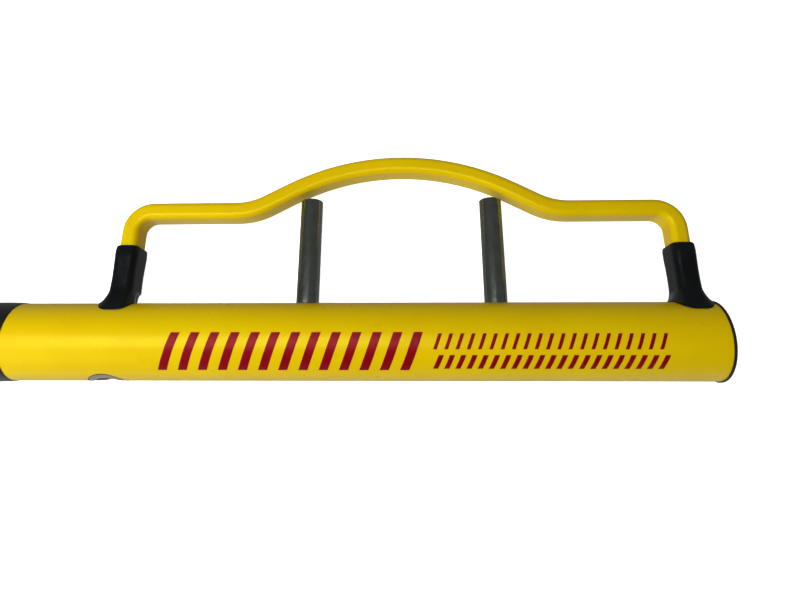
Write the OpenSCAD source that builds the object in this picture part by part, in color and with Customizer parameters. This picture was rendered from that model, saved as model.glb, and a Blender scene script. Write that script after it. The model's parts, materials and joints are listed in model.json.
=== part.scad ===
// Bar-type steering wheel lock: a steel tube with a grip, a pull-out hoop of flat bar,
// two guard posts, and a key-driven bar inside the tube that locks both legs of the hoop.
//
// Own frame of the lock: x along the tube, y from the tube towards the hoop, z up.
// lay() then sets the lock down on a flat surface, where the tube and the hoop's crown
// both touch, and puts the origin at the bottom centre of its bounding box.

/* [Tube] */
// Outside diameter of the steel tube
tube_d = 57; // [50:0.5:62]
// Wall thickness of the tube
tube_wall = 2; // [1.5:0.25:2.5]
// Right end of the tube, from the middle of the hoop
tube_right = 228.3; // [226:0.1:236]
// Left end of the tube, inside the grip
tube_left = -480; // [-560:5:-380]

/* [Hoop] */
// Thickness of the hoop's bar, in the plane of the hoop
bar = 13.6; // [12:0.2:15]
// Width of the hoop's bar, across the plane of the hoop
bar_wide = 21; // [17:0.5:22]
// Radius of the bar's rounded edges
bar_edge = 4.5; // [3:0.25:5]
// Distance of each leg from the middle
leg_x = 214.6; // [211:0.2:216]
// Height of the level shoulders above the tube's axis
shoulder_y = 101.8; // [96:0.2:112]
// Distance of each saddle bend from the middle
saddle_x = 119; // [112:0.5:128]
// Height at which the two slopes of the crown would meet
apex_y = 165.4; // [156:0.2:178]

/* [Posts] */
// Diameter of each guard post
post_d = 17.4; // [15:0.2:18]
// Distance of each post from the middle
post_x = 71.8; // [60:0.2:85]
// Height of the posts' tops above the tube's axis
post_top = 111.5; // [96:0.5:113]

/* [Grip] */
// Thickness of the vinyl grip, which is also how far the end cap stands proud
grip_wall = 0.8; // [0.6:0.1:1.2]
// Where the grip begins, from the middle of the hoop
grip_start = -288.2; // [-300:0.2:-260]

/* [Lock] */
// Distance of the key lock's axis from the middle
lock_x = 217; // [216:0.5:218]
// Diameter of the lock barrel
barrel_d = 27.4; // [26:0.2:28]
// Radius at which the cam's pin drives the bolt bar
crank_r = 8; // [7:0.25:8]

/* [Hidden] */
$fn = 96;
far = 200;   // longer than any cut needs
slack = 0.2; // side clearance of a sliding fit
fit = 0.08;  // radial clearance of a turning fit

tube_r = tube_d / 2;
bore_r = tube_r - tube_wall;
slug_r = bore_r - 0.1; // the blocks that fill the tube
rest_r = tube_r + grip_wall; // what the tube lies on: grip and end cap

// Hoop outline: [x, y, bend radius at the bar's centre line], from tip to tip
leg_tip_y = -3.5;
corner_r = 16.3;
saddle_r = 53.4;
crown_r = 188.3;
bend_swell = 0.01;
bend_lap = 0.2;
half_hoop = [
    [-leg_x, leg_tip_y, 0], [-leg_x, shoulder_y, corner_r], [-saddle_x, shoulder_y, saddle_r]
];
hoop_path = concat(
    half_hoop, [[0, apex_y, crown_r]],
    [for (i = [2:-1:0]) [-half_hoop[i].x, half_hoop[i].y, half_hoop[i].z]]
);
slope = atan((apex_y - shoulder_y) / saddle_x);
crown_y = apex_y - crown_r * (1 / cos(slope) - 1);

// Rest: the tilt at which the crown's lower edge meets the surface under the tube
core = [crown_y + bar / 2 - bar_edge, bar_wide / 2 - bar_edge];
tilt = asin((rest_r - bar_edge) / norm(core)) - atan(core.y / core.x);
crown_reach = core.x * cos(tilt) + core.y * sin(tilt) + bar_edge;

// Grip and end cap
grip_end_wall = 3;
grip_left = tube_left - grip_end_wall;
cap_flange = 2.2;
cap_right = tube_right + cap_flange;
cap_register = 2;
peg_r = 4;
peg_y = -14;
peg_z = 9;
peg_len = 12;

// Bolt bar and what it locks
bolt_low = 1;
bolt_high = 6;
bolt_half_w = 15.5;
notch_gap = 0.3;
neck_half = 5.5;
throw = 2 * crank_r * sin(45);
tongue_low = -6.7;
tongue_high = -4.2;
bolt_left = -240;
riser_x = [-194, -188];
socket_l = [-238, -196];
socket_r = [194, tube_right - cap_register];

// Key lock, all along the -y side of the tube
face_y = -26.8;
spot_r = 8.4;
barrel_back = -9.9;
nose_r = 6.4;
carrier_r = 7.9;
disc_r = 5.5;
disc_count = 6;
disc_t = 1.1;
disc_pitch = 1.5;
disc_front = -22.2;
cam_low = -9.6;
cam_high = -7;
cam_pin_r = 2.5;
screw_tip = -12.7;
tail_half = 3;
pin_r = 2.5;
pin_y = 13;

function around(x, a) = [x - a, x + a];
function heading(p, q) = atan2(q.y - p.y, q.x - p.x);
function turn(a, b) = let (d = b - a) d > 180 ? d - 360 : d < -180 ? d + 360 : d;
function setback(path, i) =
    (i == 0 || i == len(path) - 1) ? 0
    : path[i].z * tan(abs(turn(heading(path[i - 1], path[i]), heading(path[i], path[i + 1]))) / 2);

// Sets the lock down: the tube lies on its grip and end cap, the hoop on its crown
module lay() {
    translate([-(grip_left + cap_right) / 2, -(crown_reach - rest_r) / 2, rest_r])
        rotate([-tilt, 0, 0])
            children();
}

// A rectangle with rounded corners, centred
module rounded_rect(size, r) {
    square([size.x, size.y - 2 * r], center = true);
    square([size.x - 2 * r, size.y], center = true);
    for (x = [-1, 1], y = [-1, 1])
        translate([x * (size.x / 2 - r), y * (size.y / 2 - r)])
            circle(r);
}

// The section of the hoop's bar, oversize by grow a side
module bar_section(grow = 0) {
    rounded_rect([bar + 2 * grow, bar_wide + 2 * grow], bar_edge + grow);
}

// A cylinder along x, from x0 to x1
module along_x(r, x0, x1) {
    translate([x0, 0, 0])
        rotate([0, 90, 0])
            cylinder(r = r, h = x1 - x0);
}

// A cylinder along y, from y0 to y1, centred on x
module along_y(r, y0, y1, x = 0) {
    translate([x, y0, 0])
        rotate([-90, 0, 0])
            cylinder(r = r, h = y1 - y0);
}

// A prism along y with the section of the hoop's bar, oversize by grow a side
module leg_prism(x, y0, y1, grow) {
    translate([x, y0, 0])
        rotate([-90, 0, 0])
            linear_extrude(y1 - y0)
                bar_section(grow);
}

// A box given by its ranges
module box(x, y, z) {
    translate([x[0], y[0], z[0]])
        cube([x[1] - x[0], y[1] - y[0], z[1] - z[0]]);
}

// The bar, bent along a path of [x, y, bend radius]. The straights run a little way
// into the bends, which are a hair thicker, as a bend in cold-formed bar is
module bent_bar(path) {
    for (i = [0:len(path) - 2]) {
        a = heading(path[i], path[i + 1]);
        d = [cos(a), sin(a)];
        lead = i == 0 ? 0 : bend_lap;
        trail = i == len(path) - 2 ? 0 : bend_lap;
        p = [path[i].x, path[i].y] + d * (setback(path, i) - lead);
        q = [path[i + 1].x, path[i + 1].y] - d * setback(path, i + 1);
        translate(p)
            rotate([0, 0, a])
                rotate([90, 0, 90])
                    linear_extrude(norm(q - p) + trail)
                        bar_section();
        if (i < len(path) - 2) {
            bend = turn(a, heading(path[i + 1], path[i + 2]));
            side = sign(bend);
            centre = q + side * path[i + 1].z * [-sin(a), cos(a)];
            translate(centre)
                rotate([0, 0, a - side * 90 + min(bend, 0)])
                    rotate_extrude(angle = abs(bend))
                        translate([path[i + 1].z, 0])
                            bar_section(bend_swell);
        }
    }
}

module main_tube() color("gold") lay() difference() {
    along_x(tube_r, tube_left, tube_right);
    along_x(bore_r, tube_left - 1, tube_right + 1);
    for (s = [-1, 1]) {
        leg_prism(s * leg_x, 0, far, slack);
        along_y(post_d / 2, 0, far, s * post_x);
    }
    along_y(barrel_d / 2 + 0.4, -far, 0, -lock_x);
    socket_pin_set(far);
    barrel_pin_body(far);
}

module grip_sleeve() color("dimgray") lay()
    rotate([0, 90, 0])
        rotate_extrude()
            polygon([
                [tube_r, grip_start], [tube_r, tube_left], [0, tube_left], [0, grip_left],
                [rest_r - 8, grip_left], [rest_r - 4, grip_left + 0.8], [rest_r - 1.2, grip_left + 2.6],
                [rest_r, grip_left + 6], [rest_r, grip_start - 12], [tube_r + 0.4, grip_start]
            ]);

module tube_plug() color("black") lay() difference() {
    along_x(bore_r, tube_left, tube_left + 16);
    along_x(bore_r - 3, tube_left + 3, tube_left + 17);
}

module end_cap() color("black") lay() difference() {
    round = 0.8;
    union() {
        rotate([0, 90, 0])
            rotate_extrude()
                translate([0, tube_right]) {
                    square([rest_r - round, cap_flange]);
                    square([rest_r, cap_flange - round]);
                    translate([rest_r - round, cap_flange - round])
                        circle(round);
                }
        along_x(bore_r, tube_right - cap_register, tube_right);
    }
    peg_set();
}

// Pegs that hold the end cap on its socket block
module peg_set() {
    for (z = [-1, 1] * peg_z)
        translate([0, peg_y, z])
            along_x(peg_r, socket_r[1] - peg_len, tube_right);
}

module end_cap_pegs() color("black") lay() peg_set();

// Slot in which the bolt bar slides
module bolt_slot(x) {
    box(x, [bolt_low - notch_gap, bolt_high + notch_gap], [-1, 1] * (bolt_half_w + 0.3));
}

module left_socket() color("silver") lay() difference() {
    along_x(slug_r, socket_l[0], socket_l[1]);
    leg_prism(-leg_x, leg_tip_y - 1, far, slack);
    bolt_slot([-far * 2, 0]);
    along_y(barrel_d / 2 + 0.1, -far, leg_tip_y - 0.2, -lock_x);
    box([-lock_x - 12, 0], [tongue_low - 0.4, leg_tip_y - 0.2], [-1, 1] * (bolt_half_w + 0.3));
    socket_pin_set(far);
    barrel_pin_body(far);
}

module right_socket() color("silver") lay() difference() {
    along_x(slug_r, socket_r[0], socket_r[1]);
    leg_prism(leg_x, leg_tip_y - 0.5, far, slack);
    bolt_slot([0, leg_x + bar / 2 + slack]);
    peg_set();
    socket_pin_set(far);
}

// Dowels driven in from the back of the tube, reach as given
module socket_pin_set(reach) {
    for (p = [[-232, pin_y], [-200, pin_y], [199, pin_y], [199, -pin_y]])
        translate([p.x, p.y, -reach])
            cylinder(r = pin_r, h = reach - bore_r / 2);
}

module socket_pins() color("silver") lay() intersection() {
    socket_pin_set(tube_r + 1);
    along_x(tube_r, -2 * far, 2 * far);
}

// Roll pin that keeps the barrel in its socket
module barrel_pin_body(reach) {
    translate([-lock_x, -17, -reach])
        cylinder(r = pin_r, h = reach - barrel_d / 2 + 1.2);
}

module barrel_pin() color("silver") lay() intersection() {
    barrel_pin_body(tube_r);
    along_x(tube_r, -2 * far, 0);
}

// Plated rod: threaded spigot below, plain rod through the tube's wall, rounded top
module post(x) {
    round = 1.2;
    seat = 20;
    thread_low = 8;
    r = post_d / 2;
    translate([x, 0, 0])
        rotate([-90, 0, 0])
            rotate_extrude() {
                translate([0, seat]) {
                    square([r - round, post_top - seat]);
                    square([r, post_top - seat - round]);
                }
                translate([r - round, post_top - round])
                    circle(round);
                translate([0, thread_low])
                    square([6, seat - thread_low]);
            }
}

module left_post() color("gray") lay() post(-post_x);

module right_post() color("gray") lay() post(post_x);

// Block inside the tube that a post screws into, over the bolt bar
module post_block(x) difference() {
    along_x(slug_r, x - 11, x + 11);
    box([x - 12, x + 12], [-far, bolt_low - 4], [-far, far]);
    bolt_slot([x - 12, x + 12]);
    post(x);
}

module left_post_block() color("silver") lay() post_block(-post_x);

module right_post_block() color("silver") lay() post_block(post_x);

// Lock body: its face follows the tube, with a flat spot round the core's nose
module lock_barrel() color("lightgray") lay() difference() {
    intersection() {
        along_y(barrel_d / 2, -tube_r, barrel_back, -lock_x);
        along_x(tube_r - 0.1, -lock_x - barrel_d, -lock_x + barrel_d);
    }
    along_y(spot_r, -far, face_y, -lock_x);
    along_y(nose_r + fit, face_y - 1, barrel_back, -lock_x);
    along_y(carrier_r + fit, face_y + 1.7, barrel_back + 1, -lock_x);
    along_y(carrier_r + 0.8, barrel_back - 1.5, barrel_back - 0.5, -lock_x);
    // Groove that takes the sidebar when the bolt is thrown
    translate([-lock_x, disc_front, -carrier_r])
        rotate([-90, 0, 0])
            cylinder(r = 1.2, h = disc_count * disc_pitch);
    barrel_pin_body(far);
}

module retaining_ring() color("gray") lay() difference() {
    along_y(carrier_r + 0.8, barrel_back - 1.5, barrel_back - 0.5, -lock_x);
    along_y(disc_r, barrel_back - 2, barrel_back, -lock_x);
    box([-lock_x - 1, -lock_x + 1], [barrel_back - 2, barrel_back], [0, 20]);
}

module hoop() color("gold") lay() difference() {
    bent_bar(hoop_path);
    for (x = [-1, 1] * leg_x, s = [-1, 1])
        translate([x - bar, bolt_low - notch_gap, s > 0 ? neck_half : -neck_half - bar])
            cube([2 * bar, bolt_high - bolt_low + 2 * notch_gap, bar]);
}

// Rubber boot on a leg: a sleeve and a flared foot that sits over the tube
module boot(side) {
    wall = 2.3;
    sleeve = [bar + 2 * wall, bar_wide + 2 * wall];
    sleeve_top = 72.8;
    foot_x = -leg_x + 1.4;
    foot_r = 12;
    foot_z = 9;
    gap = 0.3;
    mirror([side > 0 ? 1 : 0, 0, 0])
        difference() {
            union() {
                translate([-leg_x, tube_r, 0])
                    rotate([-90, 0, 0])
                        linear_extrude(sleeve_top - tube_r)
                            rounded_rect(sleeve, bar_edge + wall);
                hull($fn = 32) {
                    translate([-leg_x, 38, 0])
                        rotate([-90, 0, 0])
                            linear_extrude(2)
                                rounded_rect(sleeve, bar_edge + wall);
                    for (x = [-2.6, 2.6], z = [-8, 8])
                        along_foot(foot_x + x, z, 8, 25);
                }
                intersection() {
                    along_x(tube_r + 2.1, -far * 2, 0);
                    union() {
                        for (x = [-2.6, 2.6], z = [-foot_z, foot_z])
                            along_foot(foot_x + x, z, foot_r, 0, 40);
                        box(around(foot_x, foot_r + 2.6), [0, 40], [-foot_z, foot_z]);
                        box(around(foot_x, 2.6), [0, 40], around(0, foot_z + foot_r));
                    }
                }
            }
            along_x(tube_r + gap, -far * 2, 0);
            leg_prism(-leg_x, 0, far, 0);
        }
}

// A cylinder along y at x, z
module along_foot(x, z, r, y0, y1 = 33) {
    translate([0, 0, z])
        along_y(r, y0, y1, x);
}

module left_boot() color("black") lay() boot(-1);

module right_boot() color("black") lay() boot(1);

// Bar that slides along the tube: a keyhole for the left leg, a fork for the right one,
// and a lower tongue with the cross slot that the cam's pin drives
module bolt_bar() color("silver") lay() difference() {
    fork_tip = leg_x - bar / 2 - 0.6;
    room = bar / 2 + 0.5;
    wide = bar_wide / 2 + 0.5;
    narrow = neck_half + 0.3;
    union() {
        box([bolt_left, fork_tip], [bolt_low, bolt_high], [-1, 1] * bolt_half_w);
        box(riser_x, [tongue_low, bolt_high], [-1, 1] * 9);
        box([-lock_x - 11, riser_x[1]], [tongue_low, tongue_high], [-1, 1] * bolt_half_w);
    }
    box(around(-leg_x, room), [bolt_low - 1, bolt_high + 1], [-wide, wide]);
    box([-leg_x - room - throw - 0.4, -leg_x], [bolt_low - 1, bolt_high + 1], [-narrow, narrow]);
    box([fork_tip - throw - 0.4, fork_tip + 1], [bolt_low - 1, bolt_high + 1], [-narrow, narrow]);
    cam_slot();
}

// The cross slot over the cam's pin, at rest
module cam_slot() {
    pin_x = -lock_x - crank_r * sin(45);
    pin_z = crank_r * cos(45);
    play = cam_pin_r + 0.3;
    box(around(pin_x, play), [tongue_low - 1, tongue_high + 1], [pin_z - play, crank_r + play]);
}

module keyway(y0, y1) {
    box(around(-lock_x, 3.8), [y0, y1], [-1.2, 1.2]);
}

module disc_carrier() color("gainsboro") lay() difference() {
    union() {
        along_y(nose_r, face_y + 0.4, face_y + 2, -lock_x);
        along_y(carrier_r, face_y + 1.8, barrel_back - 1.6, -lock_x);
        box(around(-lock_x, tail_half), [barrel_back - 2, cam_high - 1.4], [-1, 1] * tail_half);
    }
    keyway(face_y, disc_front);
    along_y(disc_r + 0.1, disc_front - 1, barrel_back - 3, -lock_x);
    sidebar_pin();
    along_y(1.9, screw_tip - 1, cam_high, -lock_x);
}

module guard_disc() color("dimgray") lay() difference() {
    along_y(disc_r, disc_front - 1, disc_front - 0.2, -lock_x);
    keyway(disc_front - 2, disc_front);
}

// Tumbler discs, each with its key slot and the gate that takes the sidebar
module tumbler_discs() color("goldenrod") lay()
    for (i = [0:disc_count - 1])
        disc_at(disc_front + i * disc_pitch, disc_t, disc_r);

// Thin washers between the discs
module disc_spacers() color("silver") lay()
    for (i = [0:disc_count - 2])
        disc_at(disc_front + disc_t + i * disc_pitch, disc_pitch - disc_t, disc_r - 0.4);

module disc_at(y, t, r) difference() {
    along_y(r, y, y + t, -lock_x);
    keyway(y - 1, y + t + 1);
    sidebar_pin();
}

module sidebar_pin() {
    translate([-lock_x + 5.9, disc_front, 0])
        rotate([-90, 0, 0])
            cylinder(r = 1.1, h = disc_count * disc_pitch);
}

module sidebar() color("silver") lay() sidebar_pin();

module drive_cam() color("silver") lay() difference() {
    union() {
        along_y(10.6, cam_low, cam_high, -lock_x);
        translate([-crank_r * sin(45), 0, crank_r * cos(45)])
            along_y(cam_pin_r, cam_low, tongue_high - 0.2, -lock_x);
    }
    box(around(-lock_x, tail_half), [cam_low - 1, cam_high + 1], [-1, 1] * tail_half);
    along_y(4.7, cam_high - 1.4, cam_high + 1, -lock_x);
}

module cam_screw() color("gray") lay() difference() {
    union() {
        along_y(4.5, cam_high - 1.4, cam_high - 0.1, -lock_x);
        along_y(1.9, screw_tip, cam_high - 1, -lock_x);
    }
    translate([-lock_x, 0, 0])
        rotate([-90, 0, 0])
            translate([0, 0, cam_high - 1])
                cylinder(r = 1.5, h = 2, $fn = 6);
}

main_tube();
grip_sleeve();
tube_plug();
end_cap();
end_cap_pegs();
left_socket();
right_socket();
socket_pins();
left_post();
right_post();
left_post_block();
right_post_block();
lock_barrel();
barrel_pin();
retaining_ring();
hoop();
left_boot();
right_boot();
bolt_bar();
disc_carrier();
guard_disc();
tumbler_discs();
disc_spacers();
sidebar();
drive_cam();
cam_screw();
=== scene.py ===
import json
import math

import bmesh
import bpy
from mathutils import Euler, Matrix, Vector


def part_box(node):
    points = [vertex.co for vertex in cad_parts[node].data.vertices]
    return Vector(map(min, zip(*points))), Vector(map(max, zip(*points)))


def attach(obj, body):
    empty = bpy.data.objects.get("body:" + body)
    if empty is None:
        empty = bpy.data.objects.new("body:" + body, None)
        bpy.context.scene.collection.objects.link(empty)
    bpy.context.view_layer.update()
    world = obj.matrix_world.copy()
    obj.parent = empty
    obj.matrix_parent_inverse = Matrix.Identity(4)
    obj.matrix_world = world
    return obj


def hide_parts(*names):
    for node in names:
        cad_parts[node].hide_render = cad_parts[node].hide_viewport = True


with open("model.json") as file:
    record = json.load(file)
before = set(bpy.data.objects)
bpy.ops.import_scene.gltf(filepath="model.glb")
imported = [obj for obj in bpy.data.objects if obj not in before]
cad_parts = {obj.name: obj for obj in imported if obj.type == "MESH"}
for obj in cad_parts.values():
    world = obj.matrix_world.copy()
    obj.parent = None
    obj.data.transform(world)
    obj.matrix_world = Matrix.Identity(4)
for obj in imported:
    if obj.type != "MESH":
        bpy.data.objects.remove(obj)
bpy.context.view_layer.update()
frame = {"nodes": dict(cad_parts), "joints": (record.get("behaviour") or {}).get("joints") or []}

MM = 0.001

# ---------------------------------------------------------------- the lock's own frame
# x runs along the tube, v from the tube towards the hoop, and w out of the hoop's plane.
# The lock lies on the floor with that plane leaning a little, so places are given here in
# millimetres of the own frame and place() turns them into the scene's metres.

JOINTS = {joint["name"]: joint for joint in frame["joints"]}
X_AXIS = Vector(JOINTS["bolt_throw"]["axis"]).normalized()
V_AXIS = Vector(JOINTS["hoop_pull"]["axis"]).normalized()
W_AXIS = X_AXIS.cross(V_AXIS)


def middle(node):
    """The middle of a node's box, in metres."""
    low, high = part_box(node)
    return (low + high) / 2


def size_mm(node):
    """The size of a node's box, in millimetres."""
    low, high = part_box(node)
    return (high - low) / MM


# On the tube's axis, halfway between the posts
CENTRE = Vector((
    (middle("left_post").x + middle("right_post").x) / 2,
    middle("end_cap").y,
    middle("end_cap").z,
))


def place(x, v, w):
    """The scene's point for a place in the own frame."""
    return CENTRE + (X_AXIS * x + V_AXIS * v + W_AXIS * w) * MM


def own_x(x):
    """The own frame's x for an x of the scene."""
    return (x - CENTRE.x) / MM


TUBE_R = size_mm("main_tube").y / 2
REST_R = size_mm("end_cap").y / 2
GRIP_LEFT = own_x(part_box("grip_sleeve")[0].x)
GRIP_START = own_x(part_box("grip_sleeve")[1].x)
LOCK_X = own_x(middle("lock_barrel").x)
LOCK_R = size_mm("lock_barrel").x / 2

# The section of the hoop's bar, and where its left leg stands
BAR = 13.6
BAR_WIDE = 21.0
BAR_EDGE = 4.5
LEG_X = own_x(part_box("hoop")[0].x) + BAR / 2


# ---------------------------------------------------------------- mesh helpers

def circle(radius, count):
    """Points round a circle, as (a, b)."""
    angles = [2 * math.pi * k / count for k in range(count)]
    return [(radius * math.cos(a), radius * math.sin(a)) for a in angles]


def rounded_rectangle(half_a, half_b, radius, steps=6):
    """Outline of a rectangle with rounded corners, counter-clockwise, as (a, b)."""
    points = []
    for quarter, (side_a, side_b) in enumerate(((1, 1), (-1, 1), (-1, -1), (1, -1))):
        for step in range(steps + 1):
            angle = (quarter + step / steps) * math.pi / 2
            points.append((
                side_a * (half_a - radius) + radius * math.cos(angle),
                side_b * (half_b - radius) + radius * math.sin(angle),
            ))
    return points


def round_resampled(outline, count):
    """The same closed outline as count points, spread evenly by the angle about the middle."""
    result = []
    for ray_a, ray_b in circle(1, count):
        best = 0.0
        for (start_a, start_b), (end_a, end_b) in zip(outline, outline[1:] + outline[:1]):
            side_a, side_b = end_a - start_a, end_b - start_b
            cross = ray_a * side_b - ray_b * side_a
            if abs(cross) < 1e-12:
                continue
            reach = (start_a * side_b - start_b * side_a) / cross
            along = (ray_b * start_a - ray_a * start_b) / cross
            if reach > 0 and -1e-6 <= along <= 1 + 1e-6:
                best = max(best, reach)
        result.append((ray_a * best, ray_b * best))
    return result


def mark_sharp(bm, limit=math.radians(38)):
    """Smooth shading all over, with an edge kept sharp where its faces meet at an angle."""
    for face in bm.faces:
        face.smooth = True
    for edge in bm.edges:
        if len(edge.link_faces) == 2:
            edge.smooth = edge.calc_face_angle() < limit


def to_piece(name, bm):
    """Turns a finished bmesh into an object of the scene."""
    bmesh.ops.recalc_face_normals(bm, faces=bm.faces)
    mark_sharp(bm)
    mesh = bpy.data.meshes.new(name)
    bm.to_mesh(mesh)
    bm.free()
    piece = bpy.data.objects.new(name, mesh)
    bpy.context.scene.collection.objects.link(piece)
    return piece


def skin(name, rings, close_ends=False, loop_of_rings=False):
    """A mesh piece made of quads between closed rings that have the same number of points."""
    bm = bmesh.new()
    grid = [[bm.verts.new(point) for point in ring] for ring in rings]
    count = len(grid[0])
    pairs = list(zip(grid, grid[1:]))
    if loop_of_rings:
        pairs.append((grid[-1], grid[0]))
    for here, there in pairs:
        for k in range(count):
            n = (k + 1) % count
            bm.faces.new((here[k], here[n], there[n], there[k]))
    if close_ends:
        bm.faces.new(grid[0])
        bm.faces.new(grid[-1])
    return to_piece(name, bm)


def finish_piece(piece, material, body, *nodes, slot=None):
    """Gives a piece its material and its body, and hides the CAD nodes that it stands for; slot is
    not used.
    """
    piece.data.materials.append(material)
    if nodes:
        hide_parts(*nodes)
    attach(piece, body)


# ---------------------------------------------------------------- material helpers

class Surface:
    """A Principled material with short calls for its procedural detail.

    Noise scales are in waves per metre, because the object's coordinates are metres.
    """

    def __init__(self, name, **sockets):
        self.material = bpy.data.materials.new(name)
        self.material.use_nodes = True
        self.tree = self.material.node_tree
        self.shader = self.tree.nodes["Principled BSDF"]
        for label, value in sockets.items():
            self.shader.inputs[label.replace("_", " ")].default_value = value
        self.place = self.tree.nodes.new("ShaderNodeTexCoord").outputs["Object"]
        self.last_bump = None

    def node(self, kind, **settings):
        made = self.tree.nodes.new("ShaderNode" + kind)
        for label, value in settings.items():
            setattr(made, label, value)
        return made

    def link(self, source, target):
        self.tree.links.new(source, target)

    def stretched(self, scale):
        """The object's own coordinates, scaled by a different amount along each axis."""
        mapping = self.node("Mapping")
        mapping.inputs["Scale"].default_value = scale
        self.link(self.place, mapping.inputs["Vector"])
        return mapping.outputs["Vector"]

    def noise(self, scale, detail=3.0, rough=0.55, where=None):
        made = self.node("TexNoise")
        made.inputs["Scale"].default_value = scale
        made.inputs["Detail"].default_value = detail
        made.inputs["Roughness"].default_value = rough
        self.link(where or self.place, made.inputs["Vector"])
        return made.outputs["Fac"]

    def between(self, source, low, high, start=0.3, end=0.7):
        """Turns start..end of a value into low..high."""
        made = self.node("MapRange")
        made.inputs["From Min"].default_value = start
        made.inputs["From Max"].default_value = end
        made.inputs["To Min"].default_value = low
        made.inputs["To Max"].default_value = high
        self.link(source, made.inputs["Value"])
        return made.outputs["Result"]

    def mixed(self, factor, first, second):
        """A colour between two others; each is a tuple or another node's output."""
        made = self.node("Mix", data_type="RGBA")
        self.link(factor, made.inputs["Factor"])
        colour_a, colour_b, result = made.inputs[6], made.inputs[7], made.outputs[2]
        for socket, value in ((colour_a, first), (colour_b, second)):
            if isinstance(value, tuple):
                socket.default_value = (*value, 1.0)
            else:
                self.link(value, socket)
        return result

    def colour(self, source):
        self.link(source, self.shader.inputs["Base Color"])

    def roughness(self, source):
        self.link(source, self.shader.inputs["Roughness"])

    def bump(self, height, strength, depth_mm):
        made = self.node("Bump")
        made.inputs["Strength"].default_value = strength
        made.inputs["Distance"].default_value = depth_mm * MM
        self.link(height, made.inputs["Height"])
        if self.last_bump:
            self.link(self.last_bump, made.inputs["Normal"])
        self.last_bump = made.outputs["Normal"]
        self.link(self.last_bump, self.shader.inputs["Normal"])


def enamel():
    """Glossy yellow powder coat: slight orange peel, faint shade changes, fine specks."""
    s = Surface("yellow_enamel", Specular_IOR_Level=0.5, Specular_Tint=(1.0, 0.95, 0.12, 1.0))
    patches = s.noise(14, 4)
    shade = s.mixed(s.between(patches, 0, 1), (0.80, 0.56, 0.0), (0.74, 0.50, 0.0))
    specks = s.between(s.noise(900, 2), 0, 1, 0.70, 0.80)
    s.colour(s.mixed(specks, shade, (0.66, 0.45, 0.0)))
    s.roughness(s.between(s.noise(60, 5), 0.26, 0.36))
    s.bump(s.noise(420, 2), 0.10, 0.06)
    return s.material


def stripe_red():
    """Dark red screen print, a little thin and dry at its edges."""
    s = Surface("stripe_red", Specular_IOR_Level=0.5, Specular_Tint=(0.8, 0.2, 0.2, 1.0))
    s.colour(s.mixed(s.between(s.noise(220, 5), 0, 1), (0.25, 0.0, 0.008), (0.20, 0.0, 0.006)))
    s.roughness(s.between(s.noise(300, 3), 0.28, 0.42))
    s.bump(s.noise(1400, 2), 0.08, 0.03)
    return s.material


def moulded_rubber():
    """Satin black rubber with a fine moulded grain and a trace of grey bloom."""
    s = Surface("boot_rubber", Specular_IOR_Level=0.28)
    bloom = s.between(s.noise(55, 5), 0, 1, 0.45, 0.8)
    s.colour(s.mixed(bloom, (0.0020, 0.0032, 0.0040), (0.005, 0.007, 0.008)))
    s.roughness(s.between(s.noise(120, 4), 0.15, 0.22))
    s.bump(s.noise(2600, 3), 0.16, 0.04)
    s.bump(s.noise(140, 2), 0.10, 0.25)
    return s.material


def dipped_vinyl():
    """Smooth black vinyl, with the long soft ripples that dipping leaves."""
    s = Surface("grip_vinyl", Specular_IOR_Level=0.5)
    dust = s.between(s.noise(90, 6), 0, 1, 0.5, 0.85)
    s.colour(s.mixed(dust, (0.004, 0.0045, 0.005), (0.010, 0.011, 0.012)))
    s.roughness(s.between(s.noise(45, 4), 0.30, 0.42))
    s.bump(s.noise(1, 3, where=s.stretched((14, 60, 60))), 0.18, 0.5)
    s.bump(s.noise(1900, 2), 0.12, 0.04)
    return s.material


def moulded_nylon():
    """Black nylon with the even spark-eroded grain of its mould."""
    s = Surface("cap_plastic", Specular_IOR_Level=0.4)
    s.colour(s.mixed(s.between(s.noise(70, 4), 0, 1), (0.010, 0.010, 0.011), (0.015, 0.015, 0.016)))
    s.roughness(s.between(s.noise(500, 3), 0.42, 0.56))
    s.bump(s.noise(1600, 4), 0.30, 0.06)
    return s.material


def plated_steel():
    """Bright zinc plate on a turned rod: fine lines round the rod and cloudy patches."""
    s = Surface("plated_steel", Metallic=1.0)
    clouds = s.between(s.noise(120, 5), 0, 1)
    s.colour(s.mixed(clouds, (0.22, 0.245, 0.21), (0.28, 0.305, 0.27)))
    s.roughness(s.between(s.noise(260, 4), 0.12, 0.20))
    s.bump(s.noise(1, 2, where=s.stretched((60, 1500, 60))), 0.05, 0.02)
    return s.material


def satin_nickel():
    """Satin nickel on the lock's machined face."""
    s = Surface("lock_face", Metallic=1.0)
    s.colour(s.mixed(s.between(s.noise(300, 4), 0, 1), (0.40, 0.36, 0.30), (0.48, 0.43, 0.37)))
    s.roughness(s.between(s.noise(800, 3), 0.30, 0.42))
    s.bump(s.noise(1, 2, where=s.stretched((2400, 200, 300))), 0.12, 0.02)
    return s.material


def bare_steel(name, low, high, rough):
    """Machined steel with tool marks along it and an oily shade change."""
    s = Surface(name, Metallic=1.0)
    s.colour(s.mixed(s.between(s.noise(80, 5), 0, 1), low, high))
    s.roughness(s.between(s.noise(400, 4), rough, rough + 0.14))
    s.bump(s.noise(1, 2, where=s.stretched((120, 1800, 1800))), 0.10, 0.03)
    return s.material


def stamped_brass():
    """Rolled brass of the stamped discs, slightly tarnished in patches."""
    s = Surface("disc_brass", Metallic=1.0)
    s.colour(s.mixed(s.between(s.noise(200, 4), 0, 1), (0.60, 0.42, 0.16), (0.72, 0.54, 0.24)))
    s.roughness(s.between(s.noise(700, 3), 0.24, 0.36))
    return s.material


# ---------------------------------------------------------------- rubber boots

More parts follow.
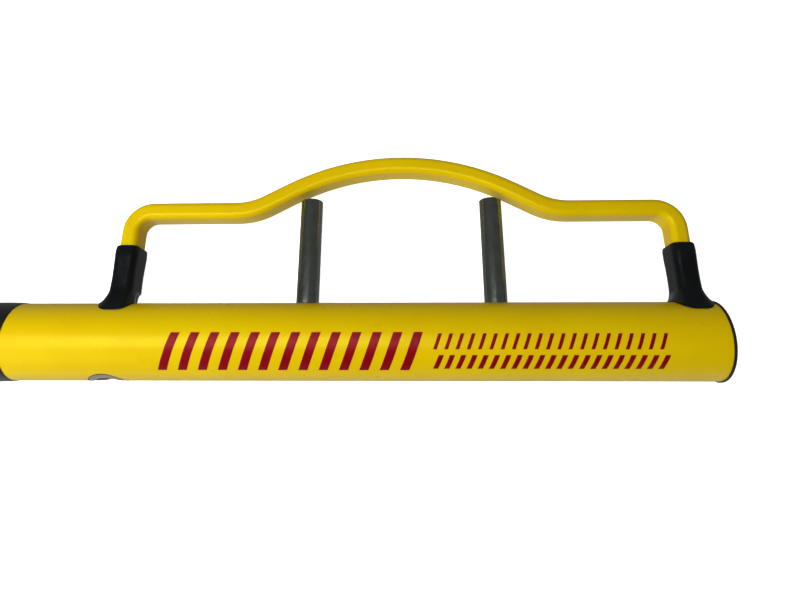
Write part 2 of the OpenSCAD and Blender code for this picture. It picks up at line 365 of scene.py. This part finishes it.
# The sleeve: its wall, corner radius and clearance on the bar, and where it begins and ends
BOOT_WALL = 2.0
BOOT_EDGE = 5.6
BOOT_CLEARANCE = 0.08
BOOT_RIM = 1.2
SLEEVE_TOP = 72.6
FLARE_TOP = 37.5

# Where the hole's wall ends under the rounded rim
HOLE_TOP = SLEEVE_TOP - 0.5

# How far the sleeve swells at each height, as (v, mm)
SLEEVE_SWELL = ((70, 0.25), (67, 0.45), (63, 0.35), (57, 0.1), (51, -0.1), (45, -0.1), (40, 0.05))
FLARE_SWELL = 0.15

# The foot: its middle, its reach outwards and along w, its edge's height, and the gap under it
FOOT_X = own_x(middle("left_boot").x)
FOOT_OUTER = size_mm("left_boot").x / 2 + 0.4
FOOT_HALF_W = 20.7
FOOT_EDGE = 0.9
FOOT_GAP = 0.35

# The rounded edge and the sole, from the outside in, as (mm above the gap, mm beyond the outline)
EDGE_SECTION = ((0.54, 0.1), (0.225, 0.05), (0.0, -0.3), (0.0, -4.0))

# The reach inwards at the front and, for the heel, at the back; -1 is the left boot, 1 the right
FOOT_INNER = {-1: 11.3, 1: 13.4}
FOOT_HEEL = {-1: 4.0, 1: 11.5}

# How much of the foot's inner side the change from heel to front takes
HEEL_BLEND = 0.7

# How square the foot's corners are: 2 is an ellipse, and more is squarer
OUTER_CORNER = 3.6
INNER_CORNER = 3.2
HEEL_CORNER = {-1: 1.5, 1: 3.2}

# How late the foot spreads below the sleeve, and how soon a heel that tucks in does so
SPREAD_POWER = 1.35
TUCK_POWER = 0.5
FLARE_STEPS = 18
BOOT_POINTS = 96


def on_tube(w, above):
    """Height v of the surface that lies that far above the tube, at w."""
    return math.sqrt(max((TUBE_R + above) ** 2 - w * w, 1.0))


def foot_outline(side):
    """The foot's edge seen from above: a toe away from the other boot, and a short heel."""
    points = []
    for c, s in circle(1, BOOT_POINTS):
        half_x, corner = FOOT_OUTER, OUTER_CORNER
        if c > 0:
            t = min(max(s / HEEL_BLEND + 0.5, 0), 1)
            front = t * t * (3 - 2 * t)
            half_x = FOOT_HEEL[side] + (FOOT_INNER[side] - FOOT_HEEL[side]) * front
            corner = HEEL_CORNER[side] + (INNER_CORNER - HEEL_CORNER[side]) * front
        x = math.copysign(abs(c) ** (2 / corner), c) * half_x
        w = math.copysign(abs(s) ** (2 / corner), s) * FOOT_HALF_W
        points.append((x, w))
    return points


def leg_outline(outset, radius):
    """The bar's section grown by outset, as (x, w) about the leg's middle."""
    outline = rounded_rectangle(BAR / 2 + outset, BAR_WIDE / 2 + outset, radius)
    return round_resampled(outline, BOOT_POINTS)


def leg_ring(outline, height, grow=0.0):
    """One level ring round the leg, with its points moved outwards by grow."""
    ring = []
    for x, w in outline:
        k = (math.hypot(x, w) + grow) / math.hypot(x, w)
        ring.append((LEG_X + x * k, height, w * k))
    return ring


def flare_ring(sleeve, foot, t):
    """One ring of the flare: t goes from 0 at the sleeve to 1 at the foot's upper edge."""
    ring = []
    for (sx, sw), (fx, fw) in zip(sleeve, foot):
        k = (math.hypot(sx, sw) + FLARE_SWELL) / math.hypot(sx, sw)
        spread = FOOT_X + fx - LEG_X - sx * k
        tucked = sx > 0 > spread
        x = LEG_X + sx * k + spread * t ** (TUCK_POWER if tucked else SPREAD_POWER)
        w = sw * k + (fw - sw * k) * t ** SPREAD_POWER
        low = on_tube(fw, FOOT_GAP + FOOT_EDGE)
        ring.append((x, FLARE_TOP + (low - FLARE_TOP) * t, w))
    return ring


def foot_ring(foot, above, grow):
    """One ring of the foot's edge, at a height above the gap."""
    ring = []
    for x, w in foot:
        k = 1 + grow / math.hypot(x, w)
        ring.append((FOOT_X + x * k, on_tube(w * k, FOOT_GAP + above), w * k))
    return ring


def boot(side):
    """One boot: a straight sleeve on the leg that flares into a foot over the tube."""
    sleeve = leg_outline(BOOT_WALL, BOOT_EDGE)
    hole = leg_outline(BOOT_CLEARANCE, BAR_EDGE + BOOT_CLEARANCE)
    foot = foot_outline(side)
    rings = [leg_ring(hole, FLARE_TOP), leg_ring(hole, HOLE_TOP)]
    for step in range(7):
        a = step * math.pi / 12
        down = BOOT_RIM * (1 - math.cos(a))
        rings.append(leg_ring(sleeve, SLEEVE_TOP - down, -BOOT_RIM * (1 - math.sin(a))))
    rings += [leg_ring(sleeve, height, swell) for height, swell in SLEEVE_SWELL]
    rings += [flare_ring(sleeve, foot, step / FLARE_STEPS) for step in range(FLARE_STEPS + 1)]
    rings += [foot_ring(foot, above, grow) for above, grow in EDGE_SECTION]
    rings.append([(LEG_X + x, on_tube(w, FOOT_GAP), w) for x, w in hole])
    for ring in rings:
        for k, (x, v, w) in enumerate(ring):
            ring[k] = place(-side * x, max(v, on_tube(w, FOOT_GAP)), w)
    name = "left_boot_moulding" if side < 0 else "right_boot_moulding"
    return skin(name, rings, loop_of_rings=True)


# ---------------------------------------------------------------- grip, painted gap shade and print

# The grip's open edge, as (mm from its start, mm above the tube), and the taper behind it
GRIP_LIP = ((0.0, -0.02), (0.25, 0.32), (0.6, 0.42))
GRIP_TAPER = 12.0

# Its closed end: how far the rounding reaches along x and inwards, and the height of the dome
END_ROUND_X = 4.0
END_ROUND_R = 6.0
END_DOME = 0.5
DOME_RADII = (19, 15, 11, 7, 3, 1)


def grip():
    """Dipped sleeve: a thin feathered edge, a long straight and a domed closed end."""
    profile = [(GRIP_START - back, TUBE_R + above) for back, above in GRIP_LIP]
    edge_x, edge_r = profile[-1]
    for t in (0.25, 0.5, 0.75, 1.0):
        r = edge_r + (REST_R - edge_r) * math.sin(t * math.pi / 2)
        profile.append((edge_x - GRIP_TAPER * t, r))
    straight_x, straights = edge_x - GRIP_TAPER, 24
    length = straight_x - GRIP_LEFT - END_ROUND_X
    profile += [(straight_x - length * k / straights, REST_R) for k in range(1, straights + 1)]
    flat_r = REST_R - END_ROUND_R
    for step in range(1, 11):
        a = step * math.pi / 20
        x = GRIP_LEFT + END_ROUND_X - (END_ROUND_X - END_DOME) * math.sin(a)
        profile.append((x, flat_r + END_ROUND_R * math.cos(a)))
    profile += [(GRIP_LEFT + END_DOME * (r / flat_r) ** 2, r) for r in DOME_RADII]
    rings = [[place(x, v, w) for v, w in circle(r, 128)] for x, r in profile]
    return skin("dipped_grip", rings, close_ends=True)


# The section of the black ring painted as the shadow in the gap round the lock, as (mm beyond the
# lock's edge, mm above the tube)
GAP_SHADE_SECTION = ((-0.1, 0.02), (0.0, 0.10), (0.3, 0.16), (0.55, 0.10), (0.65, 0.02))


def painted_gap_shade_ring():
    """Thin black ring on the tube round the lock: painted shade that stands in for the shadow in
    the gap between the lock and the tube.
    """
    rings = []
    for reach, lift in GAP_SHADE_SECTION:
        outline = circle(LOCK_R + reach, 96)
        rings.append([place(LOCK_X + x, -on_tube(w, lift), w) for x, w in outline])
    return skin("painted_gap_shade_ring", rings, loop_of_rings=True)


# The print: a field of wide bars, then two rows of dashes, each as (lowest and highest angle
# from the w axis, length, gap). Its slants are in mm, and so are its lift off the tube and its
# thickness
FIELD_LEFT = -169.0
FIELD_BARS = 13
FIELD_BAR = 6.5
FIELD_PITCH = 14.4
FIELD_ANGLES = (-51, 6)
DASH_LEFT = 24.0
DASH_RIGHT = 187.0
DASH_ROWS = ((-18, 4, 2.6, 5.2), (-48, -26, 3.6, 4.2))
FIELD_SLANT = 10.0
DASH_SLANT = 4.0
PRINT_LIFT = 0.03
PRINT_THICK = 0.06


def printed_bar(bm, x_low, x_high, angles, slant):
    """A thin bar on the tube, between two angles from the w axis, leaning by slant mm."""
    across = 12
    low, high = (math.radians(angle) for angle in angles)
    inner = TUBE_R + PRINT_LIFT
    verts = []
    for step in range(across + 1):
        t = step / across
        angle = low + (high - low) * t
        shift = slant * (t - 0.5)
        for x in (x_low + shift, x_high + shift):
            for r in (inner, inner + PRINT_THICK):
                verts.append(bm.verts.new(place(x, r * math.sin(angle), r * math.cos(angle))))
    for step in range(across):
        a, b = verts[4 * step:4 * step + 4], verts[4 * step + 4:4 * step + 8]
        for p, q in ((0, 1), (1, 3), (3, 2), (2, 0)):
            bm.faces.new((a[p], a[q], b[q], b[p]))
    bm.faces.new([verts[k] for k in (0, 1, 3, 2)])
    bm.faces.new([verts[-4 + k] for k in (0, 1, 3, 2)])


def printed_bars():
    """Plain red print on the tube: a field of slanting bars, then two rows of dashes."""
    bm = bmesh.new()
    for k in range(FIELD_BARS):
        x = FIELD_LEFT + k * FIELD_PITCH
        printed_bar(bm, x, x + FIELD_BAR, FIELD_ANGLES, FIELD_SLANT)
    for low, high, dash, gap in DASH_ROWS:
        x = DASH_LEFT
        while x + dash < DASH_RIGHT:
            printed_bar(bm, x, x + dash, (low, high), DASH_SLANT)
            x += dash + gap
    return to_piece("printed_bars", bm)


# ---------------------------------------------------------------- stage

# The floor and the backdrop from the middle outwards, as (radius, height) in metres
BACKDROP = ((0.5, 0), (5.9, 0), (6.0, 0), (7.1, 0.3), (7.9, 1.1), (8.2, 2.2), (8.2, 9))


def floor():
    """White floor that rises into a round backdrop.

    Only the camera sees it. The light that it would throw back is the lower half of the world.
    """
    rings = [[(x, y, height) for x, y in circle(radius, 64)] for radius, height in BACKDROP]
    made = skin("floor", rings, close_ends=True)
    made.visible_diffuse = False
    made.visible_glossy = False
    made.visible_shadow = False
    s = Surface("floor_white", Roughness=0.9, Specular_IOR_Level=0.1)
    s.shader.inputs["Base Color"].default_value = (0.90, 0.90, 0.90, 1)
    s.shader.inputs["Emission Color"].default_value = (1, 1, 1, 1)
    s.shader.inputs["Emission Strength"].default_value = 0.9
    made.data.materials.append(s.material)


def studio_world():
    """A dim studio: dark overhead, with a floor that is brighter towards the front."""
    world = bpy.data.worlds.new("studio")
    world.use_nodes = True
    tree = world.node_tree
    direction = tree.nodes.new("ShaderNodeTexCoord").outputs["Generated"]
    parts = tree.nodes.new("ShaderNodeSeparateXYZ")
    tree.links.new(direction, parts.inputs[0])

    def ramp(axis, **values):
        """A smooth change along one axis of the direction."""
        made = tree.nodes.new("ShaderNodeMapRange")
        made.interpolation_type = "SMOOTHSTEP"
        for label, value in values.items():
            made.inputs[label.replace("_", " ")].default_value = value
        tree.links.new(parts.outputs[axis], made.inputs["Value"])
        return made

    ground = ramp("Y", From_Min=-0.7, From_Max=0.1, To_Min=0.60, To_Max=0.24)
    whole = ramp("Z", From_Min=-0.15, From_Max=0.15, To_Max=0.14)
    tree.links.new(ground.outputs["Result"], whole.inputs["To Min"])
    background = tree.nodes["Background"]
    background.inputs["Color"].default_value = (1, 1, 1, 1)
    tree.links.new(whole.outputs["Result"], background.inputs["Strength"])
    bpy.context.scene.world = world


def softbox(name, at, target, size, power, glossy=True):
    """A rectangular lamp; its places are in the own frame and its size in metres."""
    data = bpy.data.lights.new(name, "AREA")
    data.shape = "RECTANGLE"
    data.size, data.size_y = size
    data.energy = power
    lamp = bpy.data.objects.new(name, data)
    lamp.location = place(*at)
    lamp.visible_glossy = glossy
    lamp.rotation_mode = "QUATERNION"
    lamp.rotation_quaternion = (place(*target) - lamp.location).to_track_quat("-Z", "Y")
    bpy.context.scene.collection.objects.link(lamp)


def lights():
    """A key lamp overhead on the left, two fills on that side, and a low strip in front."""
    softbox("key", (-430, -125, 900), (-430, -125, 0), (0.95, 0.50), 7.7)
    softbox("side", (-1000, -600, 600), (0, 0, 0), (1.1, 0.8), 7.4, glossy=False)
    softbox("left", (-1300, 0, 250), (0, 0, 0), (0.8, 0.5), 1.2, glossy=False)
    softbox("strip", (0, -1500, 40), (0, 0, 0), (2.6, 0.05), 0.5)


# The camera's place in the own frame, its turn in degrees away from looking straight down
# along w with v upwards, and its lens; the shift puts the lock a little above the middle
CAMERA_AT = (2.89, -54.97, 451.02)
CAMERA_TURN = (20.022, 1.8995, 0.2095)
CAMERA_LENS = 26.69
CAMERA_SHIFT = (0.0186, -0.1205)


def camera():
    """Above the lock and a little on the tube's side of it, with the crown upwards."""
    data = bpy.data.cameras.new("camera")
    data.sensor_width = 36
    data.lens = CAMERA_LENS
    data.shift_x, data.shift_y = CAMERA_SHIFT
    data.clip_start, data.clip_end = 0.01, 50
    made = bpy.data.objects.new("camera", data)
    bpy.context.scene.collection.objects.link(made)
    own = Matrix((X_AXIS, V_AXIS, W_AXIS)).transposed()
    turn = Euler([math.radians(angle) for angle in CAMERA_TURN]).to_matrix()
    made.location = place(*CAMERA_AT)
    made.rotation_mode = "QUATERNION"
    made.rotation_quaternion = (own @ turn).to_quaternion()
    bpy.context.scene.camera = made


# ---------------------------------------------------------------- build

def paint(nodes, material):
    """Gives carried-over CAD nodes their finished material."""
    for node in nodes:
        slots = frame["nodes"][node].data.materials
        slots.clear()
        slots.append(material)


def build():
    """Every piece and material; the hoop's boots ride with it, and the rest stays on the tube."""
    yellow = enamel()
    rubber = moulded_rubber()
    nylon = moulded_nylon()
    hardened = bare_steel("hardened_steel", (0.24, 0.24, 0.25), (0.33, 0.33, 0.34), 0.28)
    machined = bare_steel("machined_steel", (0.38, 0.39, 0.40), (0.50, 0.51, 0.52), 0.30)
    paint(["main_tube", "hoop", "socket_pins", "barrel_pin"], yellow)
    paint(["end_cap", "end_cap_pegs", "tube_plug"], nylon)
    paint(["left_post", "right_post"], plated_steel())
    paint(["lock_barrel", "disc_carrier"], satin_nickel())
    paint(["retaining_ring", "bolt_bar", "guard_disc", "sidebar", "cam_screw"], hardened)
    paint(["left_socket", "right_socket", "left_post_block", "right_post_block"], machined)
    paint(["disc_spacers", "drive_cam"], machined)
    paint(["tumbler_discs"], stamped_brass())
    finish_piece(boot(-1), rubber, "hoop", "left_boot", slot="boot_rubber")
    finish_piece(boot(1), rubber, "hoop", "right_boot", slot="boot_rubber")
    finish_piece(grip(), dipped_vinyl(), "lock_tube", "grip_sleeve", slot="grip_vinyl")
    finish_piece(printed_bars(), stripe_red(), "lock_tube")
    # The black ring round the lock is painted shade for the shadow in the lock's gap
    finish_piece(painted_gap_shade_ring(), nylon, "lock_tube")


camera()
build()
floor()
studio_world()
lights()
bpy.context.scene.view_settings.view_transform = "Standard"
